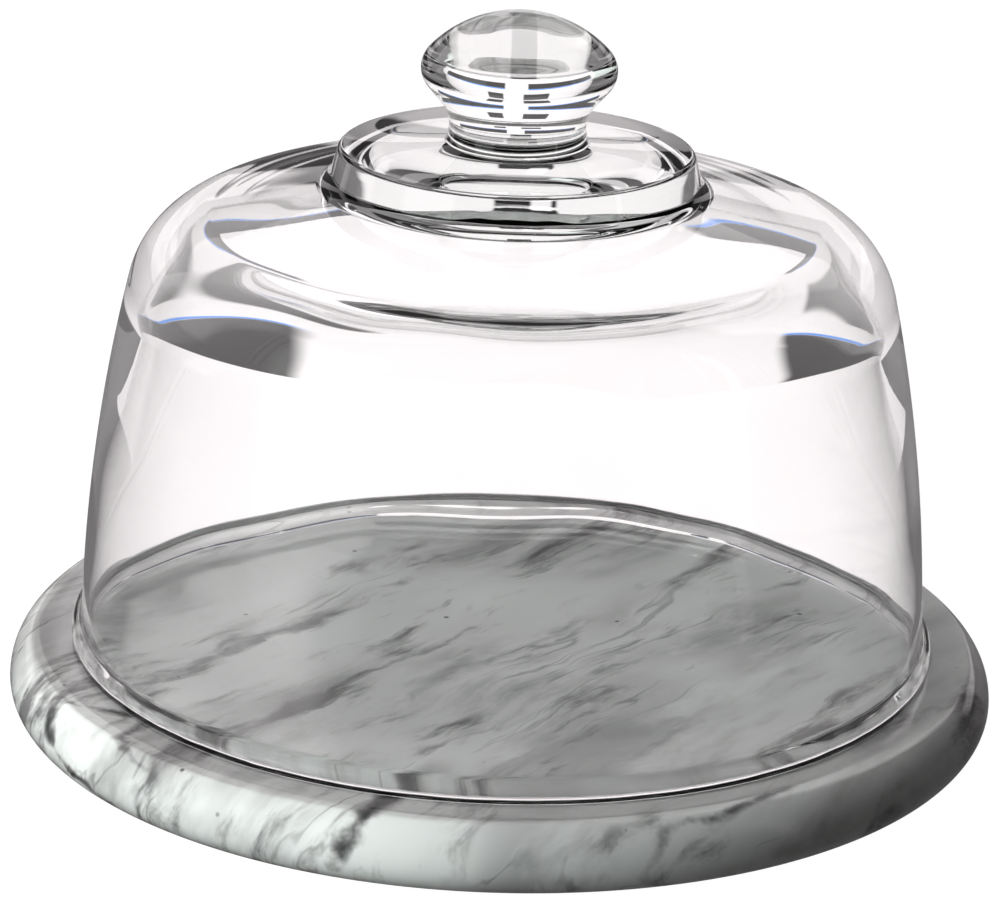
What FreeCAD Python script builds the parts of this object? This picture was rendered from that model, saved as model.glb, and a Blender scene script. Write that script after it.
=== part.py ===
import FreeCAD, Part
import math
import os

# A round marble serving board with a clear glass dome that lifts off it by a glass knob.
#
# Frame: millimetres, +Z up, origin on the axis of the board in the plane that its foot pads stand on.
# Every outline is drawn in the (radius, height) half-plane and turned once round the Z axis.
# The base is the board with the pads stuck under it. The dome is thick pressed glass with a solid knob
# fused to its top, so the knob and the shell meet on one flat round land.

# Foot pads
PAD_COUNT = 4
PAD_RADIUS = 6.0
PAD_HEIGHT = 1.6
PAD_EDGE_RADIUS = 0.7
PAD_RING_RADIUS = 72.0
FIRST_PAD_ANGLE = 45.0

# Board
BOARD_RADIUS = 101.6
BOARD_THICKNESS = 14.2
BOARD_WIDEST_HEIGHT = 6.0
BOARD_TOP_FACE_RADIUS = 97.1
BOARD_UNDERSIDE_RADIUS = 96.4

# Heights from here on are counted from the top face of the board.
BOARD_TOP = PAD_HEIGHT + BOARD_THICKNESS

# Dome rim: a bead that stands proud of the wall, round on top and ground flat underneath
RIM_RADIUS = 88.9
RIM_INNER_RADIUS = 85.0
RIM_OUTER_EDGE_RADIUS = 0.7
RIM_INNER_EDGE_RADIUS = 1.2
BEAD_SHOULDER_HEIGHT = 3.7
BEAD_TOP_RADIUS = 2.4
BEAD_FILLET_RADIUS = 1.1

# Dome wall: nearly upright at the foot and leaning in more at the top, one long arc between
WALL_FOOT_RADIUS = 87.05
WALL_FOOT_HEIGHT = 4.7
WALL_FOOT_LEAN = 0.06
WALL_TOP_RADIUS = 77.4
WALL_TOP_HEIGHT = 76.2
WALL_TOP_LEAN = 0.235
WALL_ARC_RADIUS = 350.0

# Dome crown: a shallow cone from the rounded shoulder up to the step
SHOULDER_RADIUS = 20.0
CROWN_RADIUS = 61.9
CROWN_HEIGHT = 91.1
CROWN_SLOPE = 0.22

# Step: a raised round table of solid glass that carries the knob
STEP_RADIUS = 35.7
STEP_HEIGHT = 104.0
STEP_LEAN = 0.27
STEP_FILLET_RADIUS = 4.0
STEP_EDGE_RADIUS = 1.4
LAND_RADIUS = 15.0
LAND_HEIGHT = 105.5

# Inside of the dome: the glass thickens from the rim up to the crown
INSIDE_FOOT_LEAN = 0.089
INSIDE_TOP_RADIUS = 72.45
INSIDE_TOP_HEIGHT = 72.0
INSIDE_TOP_LEAN = 0.24
INSIDE_ARC_RADIUS = 350.0
INSIDE_SHOULDER_RADIUS = 18.7
CROWN_THICKNESS = 8.8
INSIDE_CROWN_SLOPE = 0.245
CEILING_RADIUS = 30.0
CEILING_RISE = 0.06
CEILING_ARC_RADIUS = 40.0

# Knob: a flattened ball on a waisted neck
KNOB_RADIUS = 19.6
KNOB_WIDEST_HEIGHT = 120.3
KNOB_TOP_HEIGHT = 131.7
KNOB_CAP_RADIUS = 25.0
KNOB_UNDERSIDE_ANGLE = 40.0
NECK_RADIUS = 13.7
NECK_CURVE_RADIUS = 7.0


def point(radius, height):
    """A point of an outline, with its height counted from the top face of the board."""
    return FreeCAD.Vector(radius, 0, BOARD_TOP + height)


def crossing(point_a, slope_a, point_b, slope_b):
    """Where two leaning lines meet. Each is (radius, height) and its change of radius per unit of height."""
    height = (
        point_b[0] - point_a[0] + slope_a * point_a[1] - slope_b * point_b[1]
    ) / (slope_a - slope_b)
    return (point_a[0] + slope_a * (height - point_a[1]), height)


def rounded_outline(corners):
    """A closed wire through corners (radius, height, rounding). Each rounded corner is a tangent arc."""
    edges = []
    starts, ends, middles = [], [], []
    count = len(corners)
    for i, (radius, height, rounding) in enumerate(corners):
        here = point(radius, height)
        before = point(*corners[i - 1][:2])
        after = point(*corners[(i + 1) % count][:2])
        back = (before - here).normalize()
        forth = (after - here).normalize()
        half_angle = back.getAngle(forth) / 2
        if rounding:
            trim = rounding / math.tan(half_angle)
            towards_centre = (back + forth).normalize()
            centre = here + towards_centre * (rounding / math.sin(half_angle))
            starts.append(here + back * trim)
            ends.append(here + forth * trim)
            middles.append(centre - towards_centre * rounding)
        else:
            starts.append(here)
            ends.append(here)
            middles.append(None)
    for i in range(count):
        if middles[i]:
            edges.append(Part.Arc(starts[i], middles[i], ends[i]).toShape())
        following = starts[(i + 1) % count]
        if ends[i].distanceToPoint(following) > 1e-6:
            edges.append(Part.LineSegment(ends[i], following).toShape())
    return Part.Wire(edges)


def turned(wire):
    """The solid that an outline in the half-plane sweeps in one turn round the Z axis."""
    axis_point = FreeCAD.Vector(0, 0, 0)
    axis = FreeCAD.Vector(0, 0, 1)
    solid = Part.Face(wire).revolve(axis_point, axis, 360)
    return Part.Solid(solid.Shells[0]) if solid.ShapeType != "Solid" else solid


def side_arc(start, end, widest_radius, widest_height):
    """Part of the board's rounded side: an arc that is upright where it is widest."""
    tip = start if abs(start[0] - widest_radius) < 1e-9 else end
    other = end if tip is start else start
    inward = widest_radius - other[0]
    along = other[1] - widest_height
    bend = (inward**2 + along**2) / (2 * inward)
    centre_radius = widest_radius - bend
    half_turn = math.atan2(along, other[0] - centre_radius) / 2
    middle = (
        centre_radius + bend * math.cos(half_turn),
        widest_height + bend * math.sin(half_turn),
    )
    return Part.Arc(point(*start), point(*middle), point(*end)).toShape()


def make_board():
    """The marble disc: flat top and underside, and a rounded side with a crisp upper edge."""
    bottom = -BOARD_THICKNESS
    widest = bottom + BOARD_WIDEST_HEIGHT
    under_centre = (0, bottom)
    under_edge = (BOARD_UNDERSIDE_RADIUS, bottom)
    side = (BOARD_RADIUS, widest)
    top_edge = (BOARD_TOP_FACE_RADIUS, 0)
    top_centre = (0, 0)
    edges = [
        Part.LineSegment(point(*under_centre), point(*under_edge)).toShape(),
        side_arc(under_edge, side, BOARD_RADIUS, widest),
        side_arc(side, top_edge, BOARD_RADIUS, widest),
        Part.LineSegment(point(*top_edge), point(*top_centre)).toShape(),
        Part.LineSegment(point(*top_centre), point(*under_centre)).toShape(),
    ]
    return turned(Part.Wire(edges))


def make_dome_shell():
    """The glass dome without its knob: beaded rim, leaning wall, round shoulder, crown and solid step."""
    wall_foot = (WALL_FOOT_RADIUS, WALL_FOOT_HEIGHT)
    wall_top = (WALL_TOP_RADIUS, WALL_TOP_HEIGHT)
    crown = (CROWN_RADIUS, CROWN_HEIGHT)
    step_edge = (STEP_RADIUS, STEP_HEIGHT)
    crown_lean = -1 / CROWN_SLOPE
    wall_bend = crossing(wall_foot, -WALL_FOOT_LEAN, wall_top, -WALL_TOP_LEAN)
    shoulder = crossing(wall_top, -WALL_TOP_LEAN, crown, crown_lean)
    step_foot = crossing(crown, crown_lean, step_edge, -STEP_LEAN)

    inside_foot = (RIM_INNER_RADIUS, 0)
    inside_top = (INSIDE_TOP_RADIUS, INSIDE_TOP_HEIGHT)
    crown_underside = (
        CROWN_RADIUS,
        CROWN_HEIGHT - CROWN_THICKNESS * math.hypot(1, CROWN_SLOPE),
    )
    inside_bend = crossing(inside_foot, -INSIDE_FOOT_LEAN, inside_top, -INSIDE_TOP_LEAN)
    inside_shoulder = crossing(
        inside_top, -INSIDE_TOP_LEAN, crown_underside, -1 / INSIDE_CROWN_SLOPE
    )
    ceiling_edge = (
        CEILING_RADIUS,
        crown_underside[1] + INSIDE_CROWN_SLOPE * (CROWN_RADIUS - CEILING_RADIUS),
    )
    ceiling_centre = (0, ceiling_edge[1] + CEILING_RISE * CEILING_RADIUS)

    return turned(
        rounded_outline(
            [
                (*inside_foot, RIM_INNER_EDGE_RADIUS),
                (RIM_RADIUS, 0, RIM_OUTER_EDGE_RADIUS),
                (RIM_RADIUS, BEAD_SHOULDER_HEIGHT, BEAD_TOP_RADIUS),
                (*wall_foot, BEAD_FILLET_RADIUS),
                (*wall_bend, WALL_ARC_RADIUS),
                (*shoulder, SHOULDER_RADIUS),
                (*step_foot, STEP_FILLET_RADIUS),
                (*step_edge, STEP_EDGE_RADIUS),
                (LAND_RADIUS, LAND_HEIGHT, 0),
                (0, LAND_HEIGHT, 0),
                (*ceiling_centre, 0),
                (*ceiling_edge, CEILING_ARC_RADIUS),
                (*inside_shoulder, INSIDE_SHOULDER_RADIUS),
                (*inside_bend, INSIDE_ARC_RADIUS),
            ]
        )
    )


def make_knob():
    """The solid glass knob: a shallow cap, a round edge, a sloping underside and a waisted neck."""
    cap_centre_height = KNOB_TOP_HEIGHT - KNOB_CAP_RADIUS
    rise = KNOB_WIDEST_HEIGHT - cap_centre_height
    # The edge arc touches the cap arc from inside, and is upright at the knob's widest height.
    edge_radius = (KNOB_CAP_RADIUS**2 - KNOB_RADIUS**2 - rise**2) / (
        2 * (KNOB_CAP_RADIUS - KNOB_RADIUS)
    )
    edge_centre = (KNOB_RADIUS - edge_radius, KNOB_WIDEST_HEIGHT)
    touch_angle = math.atan2(rise, edge_centre[0])
    under_angle = -math.radians(KNOB_UNDERSIDE_ANGLE)
    # The underside is the straight line that touches both the edge arc and the neck's curve.
    neck_centre_radius = NECK_RADIUS + NECK_CURVE_RADIUS
    neck_drop = (
        (neck_centre_radius - edge_centre[0]) * math.cos(under_angle)
        - edge_radius
        - NECK_CURVE_RADIUS
    ) / math.sin(under_angle)
    neck_centre = (neck_centre_radius, KNOB_WIDEST_HEIGHT - neck_drop)
    foot_angle = math.pi + math.asin((neck_centre[1] - LAND_HEIGHT) / NECK_CURVE_RADIUS)

    def on(centre, radius, angle):
        return point(centre[0] + radius * math.cos(angle), centre[1] + radius * math.sin(angle))

    def arc(centre, radius, first, last):
        middle = (first + last) / 2
        ends = (on(centre, radius, first), on(centre, radius, middle), on(centre, radius, last))
        return Part.Arc(*ends).toShape()

    cap = arc((0, cap_centre_height), KNOB_CAP_RADIUS, math.pi / 2, touch_angle)
    edge = arc(edge_centre, edge_radius, touch_angle, under_angle)
    neck = arc(neck_centre, NECK_CURVE_RADIUS, math.pi + under_angle, foot_angle)
    underside = Part.LineSegment(
        on(edge_centre, edge_radius, under_angle),
        on(neck_centre, NECK_CURVE_RADIUS, math.pi + under_angle),
    ).toShape()
    foot = Part.LineSegment(
        on(neck_centre, NECK_CURVE_RADIUS, foot_angle), point(0, LAND_HEIGHT)
    ).toShape()
    axis = Part.LineSegment(point(0, LAND_HEIGHT), point(0, KNOB_TOP_HEIGHT)).toShape()
    return turned(Part.Wire([cap, edge, underside, neck, foot, axis]))


def make_pad(index):
    """One stick-on pad: a flat disc with its lower edge rounded."""
    angle = math.radians(FIRST_PAD_ANGLE + 360 * index / PAD_COUNT)
    bottom = -BOARD_TOP
    top = bottom + PAD_HEIGHT
    pad = turned(
        rounded_outline(
            [
                (0, bottom, 0),
                (PAD_RADIUS, bottom, PAD_EDGE_RADIUS),
                (PAD_RADIUS, top, 0),
                (0, top, 0),
            ]
        )
    )
    pad.translate(
        FreeCAD.Vector(PAD_RING_RADIUS * math.cos(angle), PAD_RING_RADIUS * math.sin(angle), 0)
    )
    return pad


def main():
    parts = {
        "marble_board": make_board(),
        "dome_shell": make_dome_shell(),
        "dome_knob": make_knob(),
    }
    for index in range(PAD_COUNT):
        parts[f"foot_pad_{index + 1}"] = make_pad(index)
    os.makedirs("parts", exist_ok=True)
    for name, shape in parts.items():
        shape.exportStep(f"parts/{name}.step")
        box = shape.optimalBoundingBox()
        print(
            f"{name}: {shape.ShapeType}, valid {shape.isValid()}, volume {shape.Volume / 1000:.1f} cm3,"
            f" radius {box.XMax:.2f}, height {box.ZMin:.2f} to {box.ZMax:.2f}"
        )


main()
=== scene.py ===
import math

import bmesh
import bpy
from mathutils import Matrix, Vector


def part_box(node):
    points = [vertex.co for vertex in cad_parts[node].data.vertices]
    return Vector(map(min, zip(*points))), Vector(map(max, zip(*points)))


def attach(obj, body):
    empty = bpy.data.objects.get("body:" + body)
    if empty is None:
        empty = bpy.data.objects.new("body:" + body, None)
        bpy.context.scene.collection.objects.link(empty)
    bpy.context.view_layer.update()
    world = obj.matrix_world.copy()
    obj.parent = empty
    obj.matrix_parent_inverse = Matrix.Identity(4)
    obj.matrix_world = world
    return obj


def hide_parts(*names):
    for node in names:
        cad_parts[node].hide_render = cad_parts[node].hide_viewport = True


# A glass dome on a round marble board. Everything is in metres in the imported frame: +Z up, origin on the
# board's axis where its pads stand. Outlines are given in millimetres as (radius, height over the board's
# top face), as in the part's source, and turned into metres by place().

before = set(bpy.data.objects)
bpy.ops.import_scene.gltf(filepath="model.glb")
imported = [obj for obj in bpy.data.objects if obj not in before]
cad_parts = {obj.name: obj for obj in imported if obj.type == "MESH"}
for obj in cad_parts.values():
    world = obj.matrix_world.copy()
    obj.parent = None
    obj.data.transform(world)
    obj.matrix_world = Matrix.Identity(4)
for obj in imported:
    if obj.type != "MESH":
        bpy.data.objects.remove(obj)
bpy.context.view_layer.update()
scene = bpy.context.scene

MM = 0.001
BOARD_LOW, BOARD_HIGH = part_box("marble_board")
_, SHELL_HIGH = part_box("dome_shell")
_, KNOB_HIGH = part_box("dome_knob")
BOARD_TOP = BOARD_HIGH.z

# Board, in millimetres
BOARD_RADIUS = BOARD_HIGH.x / MM
BOARD_THICKNESS = (BOARD_HIGH.z - BOARD_LOW.z) / MM
BOARD_WIDEST_HEIGHT = 6.0
BOARD_TOP_FACE_RADIUS = 97.1
BOARD_UNDERSIDE_RADIUS = 96.4
BOARD_TOP_EDGE_RADIUS = 1.8
BOARD_FACE_RINGS = (60.0, 90.0)  # radii of the rings of points on the flat faces
BOARD_SIDE_STEPS = 20

# Dome, outside: points are (radius, height)
RIM_RADIUS = SHELL_HIGH.x / MM
RIM_OUTER_EDGE_RADIUS = 0.7
BEAD_SHOULDER_HEIGHT = 3.7
BEAD_TOP_RADIUS = 2.4
BEAD_FILLET_RADIUS = 1.1
WALL_FOOT = (87.05, 4.7)
WALL_FOOT_LEAN = 0.06
WALL_TOP = (77.4, 76.2)
WALL_TOP_LEAN = 0.235
WALL_ARC_RADIUS = 350.0
SHOULDER_RADIUS = 20.0
CROWN = (61.9, 91.1)
CROWN_SLOPE = 0.22
STEP_EDGE = (35.7, 104.0)
STEP_LEAN = 0.27
STEP_FILLET_RADIUS = 4.0
STEP_EDGE_RADIUS = 1.4
LAND = (15.0, 105.5)

# Dome, inside
RIM_INNER_RADIUS = 85.0
RIM_INNER_EDGE_RADIUS = 1.2
INSIDE_FOOT_LEAN = 0.089
INSIDE_TOP = (72.45, 72.0)
INSIDE_TOP_LEAN = 0.24
INSIDE_ARC_RADIUS = 350.0
INSIDE_SHOULDER_RADIUS = 18.7
CROWN_THICKNESS = 8.8
INSIDE_CROWN_SLOPE = 0.245
CEILING_RADIUS = 30.0
CEILING_RISE = 0.06
CEILING_ARC_RADIUS = 40.0

# Knob
KNOB_RADIUS = KNOB_HIGH.x / MM
KNOB_WIDEST_HEIGHT = 120.3
KNOB_TOP_HEIGHT = (KNOB_HIGH.z - BOARD_TOP) / MM
KNOB_CAP_RADIUS = 25.0
KNOB_UNDERSIDE_ANGLE = 40.0
NECK_RADIUS = 13.7
NECK_CURVE_RADIUS = 7.0
NECK_STEPS = 16
KNOB_EDGE_STEPS = 24
KNOB_CAP_STEPS = 36

# Fineness of the turned meshes
TURNS = 300
ARC_STEP = 0.5
FEWEST_ARC_STEPS = 6
MOST_ARC_STEPS = 44
ON_AXIS = 1e-7

# Unevenness of the inside, in metres
# Each wave is (waves round the dome, twist per metre, phase, share).
RIPPLE_DEPTH = 0.00005
RIPPLE_WAVES = ((5, 70, 1.0, 1.0), (9, -110, 0.0, 0.7), (14, 160, 2.0, 0.4))
RIPPLE_FADE_RADIUS = 0.04
CROWN_DEPTH = 0.020
RIM_RIPPLE_DEPTH = 0.00008
RIM_WAVES = ((23, 0, 1.0, 1.0), (37, 0, 0.0, 0.8), (59, 0, 2.0, 0.6))
RIM_HEIGHT = 0.006


# ---------------------------------------------------------------- outlines
def place(points):
    """Outline points in millimetres over the board's top face, as (radius, z) in metres."""
    return [(max(r, 0) * MM, BOARD_TOP + z * MM) for r, z in points]


def crossing(point_a, slope_a, point_b, slope_b):
    """Where two leaning lines meet. Each has a point (radius, height) and a change of radius per rise."""
    height = (point_b[0] - point_a[0] + slope_a * point_a[1] - slope_b * point_b[1]) / (slope_a - slope_b)
    return (point_a[0] + slope_a * (height - point_a[1]), height)


def sweep(centre, radius, first, last, count):
    """Points along an arc, from one angle to another."""
    angles = [first + (last - first) * i / count for i in range(count + 1)]
    return [(centre[0] + radius * math.cos(a), centre[1] + radius * math.sin(a)) for a in angles]


def corner_arc(before, corner, after, rounding):
    """Points of the tangent arc that rounds a corner of an outline."""
    corner, before, after = Vector(corner), Vector(before), Vector(after)
    back = (before - corner).normalized()
    forth = (after - corner).normalized()
    half = back.angle(forth) / 2
    trim = rounding / math.tan(half)
    centre = corner + (back + forth).normalized() * (rounding / math.sin(half))
    first = corner + back * trim - centre
    last = corner + forth * trim - centre
    start = math.atan2(first.y, first.x)
    turn = -first.angle_signed(last)
    wanted = math.ceil(abs(turn) * rounding / ARC_STEP)
    count = min(MOST_ARC_STEPS, max(FEWEST_ARC_STEPS, wanted))
    return sweep(centre, rounding, start, start + turn, count)


def rounded(corners):
    """A closed outline through corners (radius, height, rounding). Rounding 0 leaves a corner sharp."""
    points = []
    count = len(corners)
    for i, (radius, height, rounding) in enumerate(corners):
        if rounding:
            before = corners[i - 1][:2]
            after = corners[(i + 1) % count][:2]
            points += corner_arc(before, (radius, height), after, rounding)
        else:
            points.append((radius, height))
    return points


def added_waves(waves, angle, along):
    """The sum of some waves at an angle round the dome and a distance along its wall."""
    return sum(share * math.sin(n * angle + twist * along + phase) for n, twist, phase, share in waves)


def ripple(radius, height, angle):
    """Moves a point of the inside, because pressed glass is slightly uneven: slow waves all over, which
    push the wall outward and the crown upward, and shorter ones along the rim. In metres."""
    along = radius - height
    depth = RIPPLE_DEPTH * added_waves(RIPPLE_WAVES, angle, along) * min(1, radius / RIPPLE_FADE_RADIUS)
    near_rim = max(0, 1 - (height - BOARD_TOP) / RIM_HEIGHT)
    edge = near_rim * RIM_RIPPLE_DEPTH * added_waves(RIM_WAVES, angle, along)
    outward = min(1, max(0, (SHELL_HIGH.z - CROWN_DEPTH - height) / CROWN_DEPTH))
    return radius + depth * outward + edge, height + depth * (1 - outward)


def lathe(name, outline, uneven=0):
    """A closed smooth surface of revolution round the Z axis, from an outline that starts and ends on it.
    Its first rings, as many as uneven says, get ripples."""
    form = bmesh.new()
    rings = []
    for i, (radius, height) in enumerate(outline):
        if radius < ON_AXIS:
            rings.append([form.verts.new((0, 0, height))])
            continue
        ring = []
        for k in range(TURNS):
            angle = 2 * math.pi * k / TURNS
            r, z = ripple(radius, height, angle) if i < uneven else (radius, height)
            ring.append(form.verts.new((r * math.cos(angle), r * math.sin(angle), z)))
        rings.append(ring)
    for low, high in zip(rings, rings[1:]):
        for k in range(TURNS):
            n = (k + 1) % TURNS
            if len(low) == 1:
                form.faces.new((low[0], high[n], high[k]))
            elif len(high) == 1:
                form.faces.new((low[k], low[n], high[0]))
            else:
                form.faces.new((low[k], low[n], high[n], high[k]))
    bmesh.ops.recalc_face_normals(form, faces=form.faces)
    for face in form.faces:
        face.smooth = True
    mesh = bpy.data.meshes.new(name)
    form.to_mesh(mesh)
    form.free()
    piece = bpy.data.objects.new(name, mesh)
    scene.collection.objects.link(piece)
    return piece


# ---------------------------------------------------------------- materials
class Shading:
    """A node tree and short ways to fill it."""

    def __init__(self, owner):
        owner.use_nodes = True
        self.owner = owner
        self.tree = owner.node_tree
        self.tree.nodes.clear()

    def put(self, value, socket):
        """Sets a socket to a constant, or links another socket to it."""
        if isinstance(value, bpy.types.NodeSocket):
            self.tree.links.new(value, socket)
        else:
            socket.default_value = value

    def add(self, kind, **values):
        """A new node. Each value goes to the property of its name, or else to the input of its name."""
        node = self.tree.nodes.new("ShaderNode" + kind)
        for key, value in values.items():
            if hasattr(node, key):
                setattr(node, key, value)
            else:
                self.put(value, node.inputs[key.replace("_", " ")])
        return node

    def math(self, operation, *values):
        """The result of a Math node."""
        node = self.add("Math", operation=operation)
        for value, socket in zip(values, node.inputs):
            self.put(value, socket)
        return node.outputs[0]

    def smooth(self, value, low, high, out_low=0.0, out_high=1.0):
        """A soft step from out_low to out_high as the value goes from low to high."""
        node = self.add("MapRange", interpolation_type="SMOOTHSTEP")
        for socket, number in zip(node.inputs, (value, low, high, out_low, out_high)):
            self.put(number, socket)
        return node.outputs["Result"]

    def blend(self, factor, a, b):
        """A colour between a and b."""
        node = self.add("Mix", data_type="RGBA")
        for socket, value in zip((node.inputs[0], node.inputs[6], node.inputs[7]), (factor, a, b)):
            self.put(value, socket)
        return node.outputs[2]

    def mix(self, factor, a, b):
        """A number between a and b."""
        kept = self.math("MULTIPLY", self.math("SUBTRACT", 1.0, factor), a)
        return self.math("MULTIPLY_ADD", factor, b, kept)

    def dot(self, a, b):
        """The dot product of two vectors."""
        node = self.add("VectorMath", operation="DOT_PRODUCT")
        self.put(a, node.inputs[0])
        self.put(b, node.inputs[1])
        return node.outputs["Value"]


def glass_material():
    """Clear soda-lime glass, very faintly green where it is deep."""
    s = Shading(bpy.data.materials.new("clear_glass"))
    glass = s.add(
        "BsdfPrincipled",
        Base_Color=(1, 1, 1, 1),
        Roughness=0.0,
        IOR=1.52,
        Transmission_Weight=1.0,
    )
    depth = s.add("VolumeAbsorption", Color=(0.86, 0.95, 0.91, 1), Density=3.0)
    output = s.add("OutputMaterial")
    s.put(glass.outputs["BSDF"], output.inputs["Surface"])
    s.put(depth.outputs["Volume"], output.inputs["Volume"])
    return s.owner


def pad_material():
    """Soft cloudy plastic, a little yellowed in patches."""
    s = Shading(bpy.data.materials.new("pad"))
    position = s.add("TexCoord").outputs["Object"]
    cloud = s.add("TexNoise", Vector=position, Scale=300.0, Detail=4.0).outputs["Fac"]
    grain = s.add("TexNoise", Vector=position, Scale=2500.0, Detail=2.0).outputs["Fac"]
    bump = s.add("Bump", Strength=0.25, Distance=0.0001, Height=grain)
    pad = s.add(
        "BsdfPrincipled",
        Base_Color=s.blend(s.smooth(cloud, 0.35, 0.65), (0.80, 0.81, 0.79, 1), (0.62, 0.61, 0.56, 1)),
        Roughness=s.smooth(grain, 0.3, 0.7, 0.35, 0.55),
        Normal=bump.outputs["Normal"],
        Subsurface_Weight=0.4,
        Subsurface_Scale=0.002,
    )
    output = s.add("OutputMaterial")
    s.put(pad.outputs["BSDF"], output.inputs["Surface"])
    return s.owner


class Marble(Shading):
    """Pale grey marble. Its grain runs through the slab, so marks on the top carry on down the side.
    Stretches are features per metre, and shifts only pick another part of the same noise."""

    GRAIN_HEADING = math.radians(56)
    GRAIN_DIP = math.radians(25)
    WIDE_BENDS = {"scale": 22.0, "reach": 0.014}
    FINE_BENDS = {"scale": 110.0, "reach": 0.0030}
    VEIN_WIDE_BENDS = {"scale": 40.0, "reach": 0.007}
    VEIN_FINE_BENDS = {"scale": 170.0, "reach": 0.003}
    VEIN_BREAKS = (80, 80, 80)

    def __init__(self):
        super().__init__(bpy.data.materials.new("marble"))
        position = self.add("TexCoord").outputs["Object"]
        bent = self.bend(self.bend(position, **self.WIDE_BENDS), **self.FINE_BENDS)
        self.position = position
        self.grain = self.turned(bent)

    def bend(self, where, scale, reach):
        """Moves positions about by a smooth random vector of up to about half of reach."""
        drift = self.add("TexNoise", Vector=where, Scale=scale, Detail=2.0).outputs["Color"]
        centred = self.add("VectorMath", operation="SUBTRACT")
        self.put(drift, centred.inputs[0])
        self.put((0.5, 0.5, 0.5), centred.inputs[1])
        moved = self.add("VectorMath", operation="MULTIPLY_ADD")
        self.put(centred.outputs[0], moved.inputs[0])
        self.put((reach, reach, reach), moved.inputs[1])
        self.put(where, moved.inputs[2])
        return moved.outputs[0]

    def turned(self, where):
        """Positions with X along the grain, Y across its sheets and Z down them."""
        heading, dip = self.GRAIN_HEADING, self.GRAIN_DIP
        along = (math.cos(heading), math.sin(heading), 0)
        across = (-math.sin(heading) * math.cos(dip), math.cos(heading) * math.cos(dip), math.sin(dip))
        down = Vector(along).cross(Vector(across))
        joined = self.add("CombineXYZ")
        for direction, socket in zip((along, across, tuple(down)), joined.inputs):
            self.put(self.dot(where, direction), socket)
        return joined.outputs[0]

    def noise(self, stretch, shift, detail=4.0, roughness=0.55, where=None):
        """Fractal noise about 0.5, along the grain unless where says otherwise."""
        scaled = self.add("VectorMath", operation="MULTIPLY_ADD")
        self.put(where or self.grain, scaled.inputs[0])
        self.put(stretch, scaled.inputs[1])
        self.put((shift, shift, shift), scaled.inputs[2])
        texture = self.add("TexNoise", Vector=scaled.outputs[0], Scale=1.0, Detail=detail)
        self.put(roughness, texture.inputs["Roughness"])
        return texture.outputs["Fac"]

    def ridge(self, stretch, shift, width, detail=4.0):
        """Thin lines, 1 at their middle, where the noise passes through its mean."""
        off = self.math("ABSOLUTE", self.math("SUBTRACT", self.noise(stretch, shift, detail), 0.5))
        return self.smooth(off, 0.0, width, 1.0, 0.0)

    def product(self, *factors):
        """All factors multiplied together."""
        total = factors[0]
        for factor in factors[1:]:
            total = self.math("MULTIPLY", total, factor)
        return total

    def main_vein(self, heading, offset, tilt, middle, reach, width, strength, shift):
        """One dark vein in a tilted sheet, broken here and there and fading away from its middle.
        Heading is the way that the sheet faces, and offset its distance from the origin."""
        a, t = math.radians(heading), math.radians(tilt)
        normal = (math.cos(a) * math.cos(t), math.sin(a) * math.cos(t), math.sin(t))
        bent = self.bend(self.bend(self.position, **self.VEIN_WIDE_BENDS), **self.VEIN_FINE_BENDS)
        distance = self.math("ABSOLUTE", self.math("SUBTRACT", self.dot(bent, normal), offset))
        breaks = self.smooth(self.noise(self.VEIN_BREAKS, shift, where=self.position), 0.34, 0.56)
        away = self.add("VectorMath", operation="DISTANCE")
        self.put(self.position, away.inputs[0])
        self.put(middle, away.inputs[1])
        near = self.smooth(away.outputs["Value"], reach * 0.3, reach, 1.0, 0.0)
        swell = self.math("MULTIPLY_ADD", breaks, width, width * 0.3)
        line = self.smooth(self.math("DIVIDE", distance, swell), 0.0, 1.0, 1.0, 0.0)
        return self.product(line, breaks, near, strength)

    def specks(self, scale, radius, share, shift):
        """Small round dark grains in a share of the cells."""
        moved = self.add("VectorMath", operation="ADD")
        self.put(self.position, moved.inputs[0])
        self.put((shift, shift, shift), moved.inputs[1])
        cells = self.add("TexVoronoi", Vector=moved.outputs[0], Scale=scale, Randomness=1.0)
        spot = self.smooth(cells.outputs["Distance"], radius * 0.4, radius, 1.0, 0.0)
        chosen = self.add("SeparateColor", Color=cells.outputs["Color"]).outputs[0]
        return self.product(spot, self.smooth(chosen, 1 - share, 1 - share + 0.02))


# What main_vein needs: angles in degrees, lengths in metres
MAIN_VEINS = (
    {
        "heading": -32.0,
        "offset": 0.0198,
        "tilt": -23.6,
        "middle": (-0.026, -0.091, 0.0090),
        "reach": 0.034,
        "width": 0.0032,
        "strength": 1.0,
        "shift": 1.9,
    },
    {
        "heading": -122.2,
        "offset": 0.0684,
        "tilt": 47.1,
        "middle": (-0.083, -0.052, 0.0120),
        "reach": 0.026,
        "width": 0.0014,
        "strength": 0.95,
        "shift": 4.4,
    },
    {
        "heading": 170.7,
        "offset": 0.0019,
        "tilt": -73.4,
        "middle": (-0.068, -0.058, 0.0152),
        "reach": 0.022,
        "width": 0.0010,
        "strength": 0.7,
        "shift": 6.1,
    },
    {
        "heading": -50.0,
        "offset": 0.0890,
        "tilt": -12.0,
        "middle": (0.045, -0.088, 0.0080),
        "reach": 0.030,
        "width": 0.0014,
        "strength": 0.7,
        "shift": 2.7,
    },
)

# How far each kind of mark darkens the stone
SMOKE_DEPTH = 0.38
STREAK_DEPTH = 0.62
THREAD_DEPTH = 0.32
SPECK_DEPTH = 0.6
VEIN_DEPTH = 0.93

# Marble's tone (0 to 1) and its colour there
MARBLE_RAMP = (
    (0.0, (0.016, 0.019, 0.020, 1)),
    (0.30, (0.200, 0.196, 0.197, 1)),
    (0.70, (0.68, 0.685, 0.68, 1)),
    (0.95, (0.92, 0.95, 0.935, 1)),
)


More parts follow.
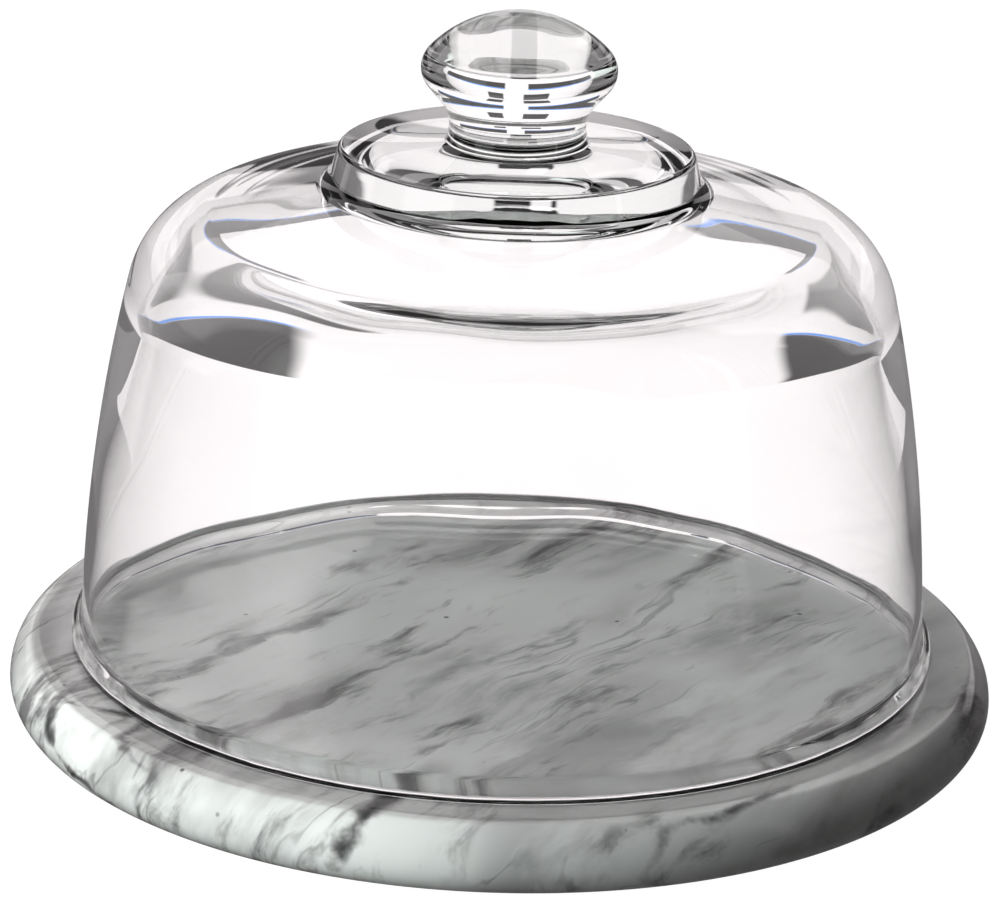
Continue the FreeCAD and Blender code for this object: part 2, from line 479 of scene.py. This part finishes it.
def marble_tone(s):
    """Clouds, and over them smoke, streaks, threads, specks and the main veins."""
    clouds = s.noise((9, 22, 12), shift=3.1, detail=3.0, roughness=0.5)
    smoke = s.product(
        s.smooth(s.noise((12, 44, 22), shift=7.7, detail=5.0, roughness=0.62), 0.43, 0.64),
        s.smooth(s.noise((11, 17, 12), shift=1.3, detail=2.0), 0.34, 0.54),
    )
    streaks = s.product(
        s.smooth(s.noise((20, 98, 44), shift=5.2, detail=5.0, roughness=0.62), 0.50, 0.66),
        s.smooth(s.noise((17, 36, 20), shift=9.4, detail=3.0), 0.36, 0.54),
    )
    threads = s.product(
        s.ridge((5, 85, 30), shift=2.6, width=0.020, detail=3.0),
        s.smooth(s.noise((26, 40, 30), shift=4.8, detail=3.0), 0.50, 0.64),
    )
    small = s.specks(scale=260, radius=0.17, share=0.030, shift=0.31)
    large = s.specks(scale=120, radius=0.10, share=0.05, shift=0.77)
    veins = 0.0
    for facts in MAIN_VEINS:
        veins = s.math("MAXIMUM", veins, s.main_vein(**facts))

    marks = (
        (smoke, SMOKE_DEPTH),
        (streaks, STREAK_DEPTH),
        (threads, THREAD_DEPTH),
        (s.math("MAXIMUM", small, large), SPECK_DEPTH),
        (veins, VEIN_DEPTH),
    )
    tone = s.math("MULTIPLY_ADD", clouds, 0.50, 0.53)
    for mark, depth in marks:
        kept = s.math("MULTIPLY_ADD", mark, -depth, 1.0)
        tone = s.math("MULTIPLY", tone, kept)
    return tone


def marble_material():
    """Polished stone, a little uneven in its polish and surface."""
    s = Marble()
    colour = s.add("ValToRGB", Fac=marble_tone(s))
    stops = colour.color_ramp.elements
    first, *between, last = MARBLE_RAMP
    stops[0].position, stops[0].color = first
    stops[1].position, stops[1].color = last
    for position, rgba in between:
        stops.new(position).color = rgba

    wear = s.noise((60, 60, 60), shift=0.7, detail=5.0, where=s.position)
    polish = s.smooth(wear, 0.3, 0.7, 0.05, 0.11)
    relief = s.noise((45, 45, 45), shift=2.2, detail=2.0, where=s.position)
    bump = s.add("Bump", Strength=0.06, Distance=0.0004, Height=relief)
    shader = s.add(
        "BsdfPrincipled",
        Base_Color=colour.outputs["Color"],
        Roughness=polish,
        IOR=1.5,
        Normal=bump.outputs["Normal"],
        Subsurface_Weight=0.15,
        Subsurface_Radius=(1.0, 1.0, 1.0),
        Subsurface_Scale=0.0025,
    )
    output = s.add("OutputMaterial")
    s.put(shader.outputs["BSDF"], output.inputs["Surface"])
    return s.owner


# ---------------------------------------------------------------- the glass dome with its knob
def inside_outline():
    """The inside of the dome, from the ceiling's middle to the rim."""
    foot = (RIM_INNER_RADIUS, 0)
    underside = (CROWN[0], CROWN[1] - CROWN_THICKNESS * math.hypot(1, CROWN_SLOPE))
    crown_lean = -1 / INSIDE_CROWN_SLOPE
    bend = crossing(foot, -INSIDE_FOOT_LEAN, INSIDE_TOP, -INSIDE_TOP_LEAN)
    shoulder = crossing(INSIDE_TOP, -INSIDE_TOP_LEAN, underside, crown_lean)
    ceiling_edge = (CEILING_RADIUS, underside[1] + INSIDE_CROWN_SLOPE * (CROWN[0] - CEILING_RADIUS))
    ceiling_centre = (0, ceiling_edge[1] + CEILING_RISE * CEILING_RADIUS)
    corners = [
        (*ceiling_centre, 0),
        (*ceiling_edge, CEILING_ARC_RADIUS),
        (*shoulder, INSIDE_SHOULDER_RADIUS),
        (*bend, INSIDE_ARC_RADIUS),
        (*foot, RIM_INNER_EDGE_RADIUS),
        (RIM_RADIUS, 0, 0),
    ]
    return rounded(corners)[:-1]


def outside_outline():
    """The outside of the dome, from the rim to the knob's land."""
    crown_lean = -1 / CROWN_SLOPE
    bend = crossing(WALL_FOOT, -WALL_FOOT_LEAN, WALL_TOP, -WALL_TOP_LEAN)
    shoulder = crossing(WALL_TOP, -WALL_TOP_LEAN, CROWN, crown_lean)
    step_foot = crossing(CROWN, crown_lean, STEP_EDGE, -STEP_LEAN)
    corners = [
        (RIM_INNER_RADIUS, 0, 0),
        (RIM_RADIUS, 0, RIM_OUTER_EDGE_RADIUS),
        (RIM_RADIUS, BEAD_SHOULDER_HEIGHT, BEAD_TOP_RADIUS),
        (*WALL_FOOT, BEAD_FILLET_RADIUS),
        (*bend, WALL_ARC_RADIUS),
        (*shoulder, SHOULDER_RADIUS),
        (*step_foot, STEP_FILLET_RADIUS),
        (*STEP_EDGE, STEP_EDGE_RADIUS),
        (*LAND, 0),
    ]
    return rounded(corners)[1:-1]


def knob_outline():
    """From the knob's foot to its top: the waisted neck, the sloping underside, the edge and the cap."""
    cap_centre = KNOB_TOP_HEIGHT - KNOB_CAP_RADIUS
    rise = KNOB_WIDEST_HEIGHT - cap_centre
    edge_radius = (KNOB_CAP_RADIUS**2 - KNOB_RADIUS**2 - rise**2) / (2 * (KNOB_CAP_RADIUS - KNOB_RADIUS))
    edge_centre = (KNOB_RADIUS - edge_radius, KNOB_WIDEST_HEIGHT)
    touch = math.atan2(rise, edge_centre[0])
    under = -math.radians(KNOB_UNDERSIDE_ANGLE)
    neck_centre_radius = NECK_RADIUS + NECK_CURVE_RADIUS
    reach = (neck_centre_radius - edge_centre[0]) * math.cos(under)
    drop = (reach - edge_radius - NECK_CURVE_RADIUS) / math.sin(under)
    neck_centre = (neck_centre_radius, KNOB_WIDEST_HEIGHT - drop)
    foot = math.pi + math.asin((neck_centre[1] - LAND[1]) / NECK_CURVE_RADIUS)
    points = sweep(neck_centre, NECK_CURVE_RADIUS, foot, math.pi + under, NECK_STEPS)
    points += sweep(edge_centre, edge_radius, under, touch, KNOB_EDGE_STEPS)
    points += sweep((0, cap_centre), KNOB_CAP_RADIUS, touch, math.pi / 2, KNOB_CAP_STEPS)[1:]
    return points


def make_dome():
    """Shell and knob in one piece, as they are in the glass, with no surface between them."""
    inside = inside_outline()
    outline = place(inside + outside_outline() + knob_outline())
    dome = lathe("glass_dome", outline, len(inside))
    dome.data.materials.append(glass_material())
    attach(dome, "dome")
    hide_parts("dome_shell", "dome_knob")


# ---------------------------------------------------------------- the board
def board_outline():
    """The slab's outline from the middle of its underside to the middle of its top face."""
    bottom = -BOARD_THICKNESS
    widest = bottom + BOARD_WIDEST_HEIGHT

    def side(other_radius, other_height, first_is_other):
        """The arc that is upright at the widest point and ends at the other one."""
        inward = BOARD_RADIUS - other_radius
        along = other_height - widest
        bend = (inward**2 + along**2) / (2 * inward)
        centre = (BOARD_RADIUS - bend, widest)
        turn = math.atan2(along, other_radius - centre[0])
        ends = (turn, 0) if first_is_other else (0, turn)
        return sweep(centre, bend, *ends, BOARD_SIDE_STEPS)

    inner, outer = BOARD_FACE_RINGS
    *upper, before_edge, _, corner = side(BOARD_TOP_FACE_RADIUS, 0, False)[1:]
    points = [(0, bottom), (inner, bottom), (outer, bottom)]
    points += side(BOARD_UNDERSIDE_RADIUS, bottom, True)
    points += upper + corner_arc(before_edge, corner, (outer, 0), BOARD_TOP_EDGE_RADIUS)
    points += [(outer, 0), (inner, 0), (0, 0)]
    return points


def make_board():
    """The marble slab, with its edges rounded as they are polished."""
    board = lathe("marble_slab", place(board_outline()))
    board.data.materials.append(marble_material())
    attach(board, "board")
    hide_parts("marble_board")


# ---------------------------------------------------------------- stage, light and camera
SENSOR_WIDTH = 36.0
FOCAL_LENGTH = 4.1757 * SENSOR_WIDTH
CAMERA_DISTANCE = 0.8089
CAMERA_HEIGHT = 0.3363
CAMERA_YAW = -0.00178
CAMERA_PITCH = 0.33432
CAMERA_ROLL = 0.0320


def make_camera():
    """The view from the front, 19 degrees above the horizon, through a long lens."""
    data = bpy.data.cameras.new("camera")
    camera = bpy.data.objects.new("camera", data)
    scene.collection.objects.link(camera)
    data.sensor_width = SENSOR_WIDTH
    data.lens = FOCAL_LENGTH
    yaw, pitch, roll = CAMERA_YAW, CAMERA_PITCH, CAMERA_ROLL
    forward = Vector((math.sin(yaw) * math.cos(pitch), math.cos(yaw) * math.cos(pitch), -math.sin(pitch)))
    right = forward.cross(Vector((0, 0, 1))).normalized()
    up = right.cross(forward)
    turned_right = math.cos(roll) * right + math.sin(roll) * up
    turned_up = -math.sin(roll) * right + math.cos(roll) * up
    matrix = Matrix((turned_right, turned_up, -forward)).transposed().to_4x4()
    matrix.translation = Vector((0, -CAMERA_DISTANCE, CAMERA_HEIGHT))
    camera.matrix_world = matrix
    scene.camera = camera


FLOOR_RADIUS = 0.74

# Brightness of the white floor and surroundings, by how the light got there
WHITE_SEEN = 1.0
WHITE_THROUGH_GLASS = 1.17
WHITE_MIRRORED = 1.05
WHITE_IN_GLOSS = 0.85
FLOOR_IN_GLOSS = 0.12
FLOOR_LIGHTING = 0.03
DIM_IN_GLOSS = 0.03
DARK_STRETCH = 0.10
DARK_PATCH = 0.03
SHARE_MADE_WHITE = 0.22  # of what isn't white, when it is seen mirrored in glass

# Strengths of the lamps on matt surfaces
AMBIENT = 0.01
BACK_LIGHT = 0.35
KEY_LIGHT = 12.3
TOP_LIGHT = 1.45
LEFT_LIGHT = 0.4

# Panels of the surroundings: azimuth of the middle, half of the width, lowest and highest elevation
KEY_PANEL = (-124, 17, -2, 38)
LEFT_PANEL = (-74, 14, -5, 45)
BACK_PANEL = (-25, 40, 8, 45)
WHITE_BACK = (-5, 47, -90, 50)
WHITE_LEFT = (-74, 7, 3, 32)
BRIGHT_STREAK = (112, 2.0, -20, 40)
WINDOW = (-5.0, 2.0, 12, 28)
PATCH_PANEL = (-2, 6, -30, 16)

# The lamp overhead: where it is, and the cosines between which it fades away
TOP_DIRECTION = (-0.42, 0.34, 0.84)
TOP_FADE = (0.74, 0.81)

# The dark stretches at the back: inner edges and reach in azimuth, lowest and highest elevation
LOW_STRETCH = {"edges": (-4.0, 5.9), "reach": 45, "low": -8, "high": 4.5}
BLUE_EDGE = {"edges": (-4.0, 5.9), "reach": 45, "low": 4.6, "high": 5.8}
HIGH_STRETCH = {"edges": (-2.2, 6.8), "reach": 14.0, "low": 12.6, "high": 24}
WIDE_STRETCH = (0, 45, 13.2, 24)  # a panel, and only in gloss
SHARP = 0.4

WHITE = (1.0, 1.0, 1.0, 1.0)
WARM_WHITE = (1.0, 0.955, 0.965, 1.0)
COOL_WHITE = (0.93, 1.0, 0.965, 1.0)
EDGE_BLUE = (0.04, 0.30, 1.0, 1.0)


class Route:
    """How light came to the stage, each as 0 or 1."""

    def __init__(self, s):
        path = s.add("LightPath").outputs
        bounces = s.math("ADD", path["Glossy Depth"], path["Diffuse Depth"])
        bounced = s.math("MINIMUM", bounces, 1.0)
        crossed = path["Transmission Depth"]
        some = s.smooth(crossed, 0.2, 0.8)
        few = s.smooth(crossed, 2.7, 3.3, 1.0, 0.0)
        often = s.smooth(path["Glossy Depth"], 1.2, 1.8)
        inside = s.math("MAXIMUM", s.math("MULTIPLY", some, few), often)

        # Seen directly, or lighting a matt surface
        self.seen = path["Is Camera Ray"]
        self.lighting = s.math("MINIMUM", path["Diffuse Depth"], 1.0)
        # Seen straight through glass, with no bounce off a polished or matt surface on the way
        self.passed = s.math("MULTIPLY", path["Is Transmission Ray"], s.math("SUBTRACT", 1.0, bounced))
        # Mirrored inside a piece of glass before it came out, or mirrored more than once
        self.mirrored = s.math("MULTIPLY", inside, bounced)


def make_floor():
    """A round pale table top. It looks brighter through glass, as a lit sweep does."""
    form = bmesh.new()
    bmesh.ops.create_circle(form, cap_ends=True, segments=128, radius=FLOOR_RADIUS)
    mesh = bpy.data.meshes.new("floor")
    form.to_mesh(mesh)
    form.free()
    floor = bpy.data.objects.new("floor", mesh)
    scene.collection.objects.link(floor)
    s = Shading(bpy.data.materials.new("floor"))
    route = Route(s)
    bounced = s.mix(route.lighting, FLOOR_IN_GLOSS, FLOOR_LIGHTING)
    glow = s.mix(route.seen, s.mix(route.passed, bounced, WHITE_THROUGH_GLASS), WHITE_SEEN)
    shader = s.add(
        "BsdfPrincipled",
        Base_Color=(0.04, 0.04, 0.04, 1),
        Roughness=0.9,
        Emission_Color=s.blend(route.seen, WARM_WHITE, WHITE),
        Emission_Strength=glow,
    )
    output = s.add("OutputMaterial")
    s.put(shader.outputs["BSDF"], output.inputs["Surface"])
    floor.data.materials.append(s.owner)


class Sky(Shading):
    """The world's nodes. Azimuth 0 is +Y and 90 is +X; all angles are in degrees."""

    def __init__(self):
        world = bpy.data.worlds.new("studio")
        scene.world = world
        super().__init__(world)
        direction = self.add("TexCoord").outputs["Generated"]
        self.direction = direction
        self.elevation = self.math("DEGREES", self.math("ARCSINE", self.dot(direction, (0, 0, 1))))

    def azimuth_from(self, centre):
        """Degrees of azimuth to the right of a centre."""
        a = math.radians(centre)
        along = self.dot(self.direction, (math.sin(a), math.cos(a), 0))
        across = self.dot(self.direction, (math.cos(a), -math.sin(a), 0))
        return self.math("DEGREES", self.math("ARCTAN2", across, along))

    def within(self, value, low, high, soft):
        """1 between low and high, with soft edges."""
        rising = self.smooth(value, low - soft, low + soft)
        falling = self.smooth(value, high - soft, high + soft, 1.0, 0.0)
        return self.math("MULTIPLY", rising, falling)

    def panel(self, azimuth, half_width, low, high, soft=3.0, soft_side=3.0, share=1.0):
        """A share inside a rectangle of azimuth and elevation and 0 outside."""
        side = self.within(self.azimuth_from(azimuth), -half_width, half_width, soft_side)
        inside = self.math("MULTIPLY", side, self.within(self.elevation, low, high, soft))
        return self.math("MULTIPLY", inside, share)

    def either_side(self, edges, reach, low, high):
        """1 in the dark stretches at the back, left and right of its bright middle as far as reach."""
        left, right = edges
        on_left = self.panel((left - reach) / 2, (left + reach) / 2, low, high, SHARP, SHARP)
        on_right = self.panel((right + reach) / 2, (reach - right) / 2, low, high, SHARP, SHARP)
        return self.math("ADD", on_left, on_right)

    def add_up(self, base, *lit):
        """A base brightness with shapes added, each as (shape, strength)."""
        total = base
        for shape, strength in lit:
            total = self.math("MULTIPLY_ADD", shape, strength, total)
        return total


def seen_in_glass(s, route, key, top):
    """Brightness of what is seen through glass or in gloss: white at the back, with dark stretches,
    white straight through glass on every side, and otherwise dim with the lamps in it."""
    glossy = s.math("SUBTRACT", 1.0, route.passed)
    panels = s.math("MAXIMUM", s.panel(*WHITE_BACK), s.panel(*WHITE_LEFT))
    through = s.math("MULTIPLY_ADD", route.mirrored, SHARE_MADE_WHITE, route.passed)
    white = s.math("MAXIMUM", panels, through)
    streak = s.panel(*BRIGHT_STREAK, soft=3.0, soft_side=0.8)
    rest = s.add_up(DIM_IN_GLOSS, (streak, 1.0), (key, 1.0), (top, 0.5))
    in_gloss = s.mix(route.mirrored, WHITE_IN_GLOSS, WHITE_MIRRORED)
    view = s.mix(white, rest, s.mix(route.passed, in_gloss, WHITE_THROUGH_GLASS))

    stretches = (
        s.either_side(**LOW_STRETCH),
        s.either_side(**HIGH_STRETCH),
        s.panel(*WIDE_STRETCH, soft=SHARP, soft_side=SHARP, share=glossy),
    )
    for stretch in stretches:
        shown = s.math("MULTIPLY", stretch, s.math("SUBTRACT", 1.0, route.mirrored))
        view = s.mix(shown, view, DARK_STRETCH)
    patch = s.panel(*PATCH_PANEL, soft=0.5, soft_side=0.5, share=route.mirrored)
    view = s.mix(patch, view, DARK_PATCH)
    window = s.panel(*WINDOW, soft=1.5, soft_side=0.5)
    return s.math("MULTIPLY_ADD", window, glossy, view)


def make_world():
    """Soft studio light. Seen directly it is plain white. Through glass it has dark stretches at the
    back, which the glass bends into view, and a blue edge on them like that of split light."""
    s = Sky()
    route = Route(s)
    key = s.panel(*KEY_PANEL, soft=4.0, soft_side=3.0)
    top = s.smooth(s.dot(s.direction, TOP_DIRECTION), *TOP_FADE)
    lamps = (
        (s.panel(*BACK_PANEL), BACK_LIGHT),
        (key, KEY_LIGHT),
        (top, TOP_LIGHT),
        (s.panel(*LEFT_PANEL), LEFT_LIGHT),
    )
    light = s.mix(route.lighting, seen_in_glass(s, route, key, top), s.add_up(AMBIENT, *lamps))

    edge = s.math("MULTIPLY", s.either_side(**BLUE_EDGE), route.passed)
    colour = s.blend(edge, s.blend(key, WARM_WHITE, COOL_WHITE), EDGE_BLUE)
    background = s.add(
        "Background",
        Color=s.blend(route.seen, colour, WHITE),
        Strength=s.mix(route.seen, light, WHITE_SEEN),
    )
    output = s.add("OutputWorld")
    s.put(background.outputs["Background"], output.inputs["Surface"])
    scene.view_settings.view_transform = "Standard"


def finish_pads():
    """The four foot pads keep their CAD shape and get their own material."""
    material = pad_material()
    for name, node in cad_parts.items():
        if name.startswith("foot_pad"):
            node.data.materials.clear()
            node.data.materials.append(material)


make_camera()
make_floor()
make_world()
make_dome()
make_board()
finish_pads()
